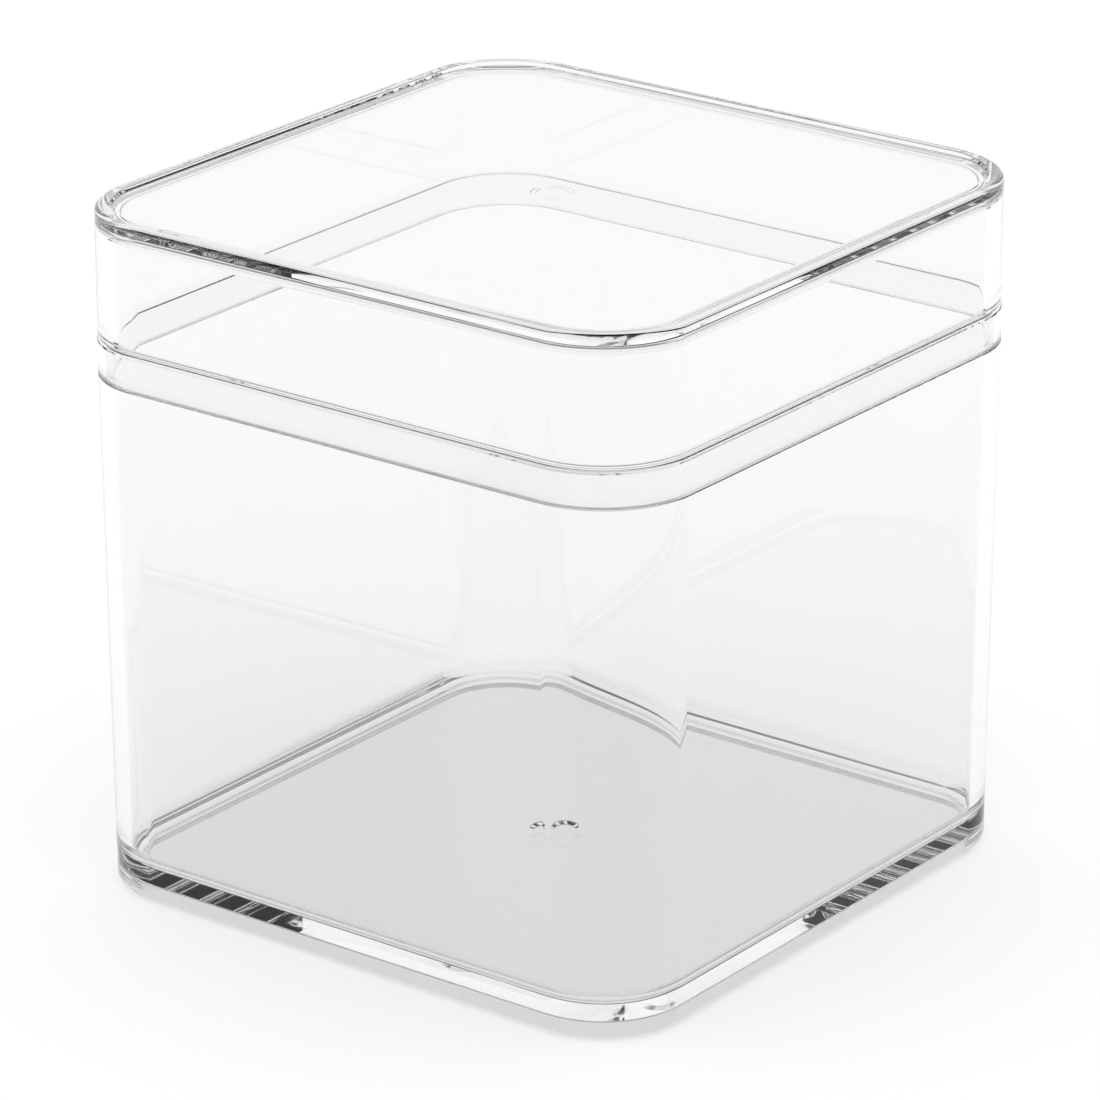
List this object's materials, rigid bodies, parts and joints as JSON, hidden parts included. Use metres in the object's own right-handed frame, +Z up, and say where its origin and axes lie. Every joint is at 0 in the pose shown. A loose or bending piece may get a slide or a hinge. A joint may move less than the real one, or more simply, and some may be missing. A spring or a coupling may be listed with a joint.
{
  "type": "storage box with lid",
  "caption": "Square clear plastic storage box with rounded corners and a lift-off lid on a rebated joint.",
  "frame": {"origin": "middle of the flat foot ring that the box stands on", "axes": "+Z up through the lid, +X and +Y square to the four side walls"},
  "size_m": [0.1002, 0.1002, 0.103],
  "materials": {
    "box_plastic": "clear, polished",
    "lid_plastic": "clear, polished"
  },
  "bodies": {
    "box": {"box_body": "box_plastic"},
    "lid": {"lid": "lid_plastic"}
  },
  "joints": [
    {"name": "lid_lift", "type": "slide", "parent": "box", "child": "lid", "axis": [0, 0, 1], "range_m": [0, 0.12]}
  ]
}
